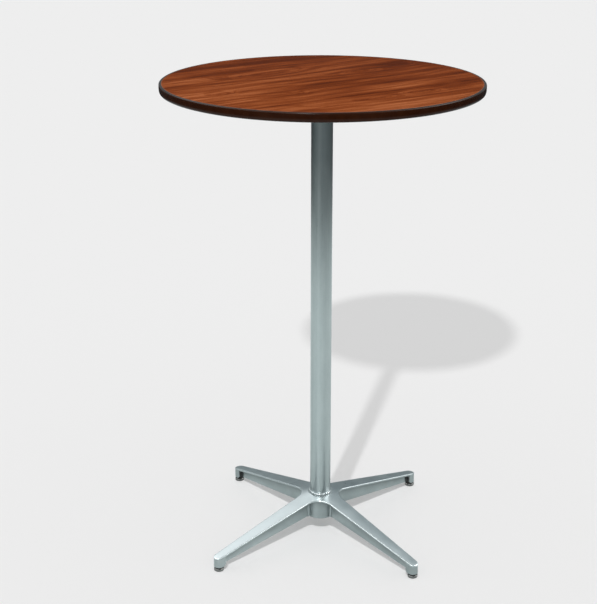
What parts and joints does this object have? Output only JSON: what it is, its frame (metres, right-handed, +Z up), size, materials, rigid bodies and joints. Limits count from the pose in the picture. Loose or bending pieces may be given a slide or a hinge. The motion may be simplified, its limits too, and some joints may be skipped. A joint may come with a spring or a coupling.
{
  "type": "pub table",
  "caption": "Tall round pedestal table with a wood-look laminate top, dark vinyl edge, straight steel column and a cast base of tapering T-section arms on levelling glides.",
  "frame": {"origin": "on the floor, on the column's axis", "axes": "+Z up along the column; the four arms lie on the diagonals between X and Y"},
  "size_m": [0.6999, 0.7, 1.067],
  "materials": {
    "laminate": "satin walnut-look laminate",
    "board": "raw particle board",
    "backer": "matt dark brown sheet",
    "vinyl_edge": "glossy dark brown vinyl",
    "plate_paint": "black semi-gloss paint",
    "column_finish": "satin clear-coated zinc",
    "cast_aluminium": "satin casting",
    "zinc_steel": "bright zinc plate",
    "nickel": "bright nickel plate",
    "black_plastic": "moulded black plastic",
    "pad_plastic": "hard grey-brown plastic"
  },
  "bodies": {
    "table": {"tabletop_core": "board", "top_laminate": "laminate", "backer_sheet": "backer", "edge_moulding": "vinyl_edge", "top_plate": "plate_paint", "top_plate_screws": "zinc_steel", "column_tube": "column_finish", "tie_rod": "zinc_steel", "rod_jam_nut": "zinc_steel", "rod_washer": "zinc_steel", "rod_lock_washer": "zinc_steel", "rod_nut": "zinc_steel", "base_casting": "cast_aluminium", "glide_insert_1": "black_plastic", "glide_insert_2": "black_plastic", "glide_insert_3": "black_plastic", "glide_insert_4": "black_plastic"},
    "foot_1": {"glide_cup_1": "nickel", "glide_pad_1": "pad_plastic"},
    "stem_1": {"glide_stem_1": "zinc_steel", "glide_collar_1": "black_plastic"},
    "foot_2": {"glide_cup_2": "nickel", "glide_pad_2": "pad_plastic"},
    "stem_2": {"glide_stem_2": "zinc_steel", "glide_collar_2": "black_plastic"},
    "foot_3": {"glide_cup_3": "nickel", "glide_pad_3": "pad_plastic"},
    "stem_3": {"glide_stem_3": "zinc_steel", "glide_collar_3": "black_plastic"},
    "foot_4": {"glide_cup_4": "nickel", "glide_pad_4": "pad_plastic"},
    "stem_4": {"glide_stem_4": "zinc_steel", "glide_collar_4": "black_plastic"}
  },
  "joints": [
    {"name": "foot_1_height", "type": "slide", "parent": "table", "child": "foot_1", "axis": [0, 0, -1], "range_m": [0, 0.008]},
    {"name": "foot_1_screw", "type": "hinge", "parent": "foot_1", "child": "stem_1", "pos_m": [0.21567, 0.21567, 0], "axis": [0, 0, -1], "range_deg": [0, 2304]},
    {"name": "foot_2_height", "type": "slide", "parent": "table", "child": "foot_2", "axis": [0, 0, -1], "range_m": [0, 0.008]},
    {"name": "foot_2_screw", "type": "hinge", "parent": "foot_2", "child": "stem_2", "pos_m": [-0.21567, 0.21567, 0], "axis": [0, 0, -1], "range_deg": [0, 2304]},
    {"name": "foot_3_height", "type": "slide", "parent": "table", "child": "foot_3", "axis": [0, 0, -1], "range_m": [0, 0.008]},
    {"name": "foot_3_screw", "type": "hinge", "parent": "foot_3", "child": "stem_3", "pos_m": [-0.21567, -0.21567, 0], "axis": [0, 0, -1], "range_deg": [0, 2304]},
    {"name": "foot_4_height", "type": "slide", "parent": "table", "child": "foot_4", "axis": [0, 0, -1], "range_m": [0, 0.008]},
    {"name": "foot_4_screw", "type": "hinge", "parent": "foot_4", "child": "stem_4", "pos_m": [0.21567, -0.21567, 0], "axis": [0, 0, -1], "range_deg": [0, 2304]}
  ],
  "couplings": [
    {"joint": "foot_1_screw", "follows": "foot_1_height", "rad_per_m": 5026.5},
    {"joint": "foot_2_screw", "follows": "foot_2_height", "rad_per_m": 5026.5},
    {"joint": "foot_3_screw", "follows": "foot_3_height", "rad_per_m": 5026.5},
    {"joint": "foot_4_screw", "follows": "foot_4_height", "rad_per_m": 5026.5}
  ]
}
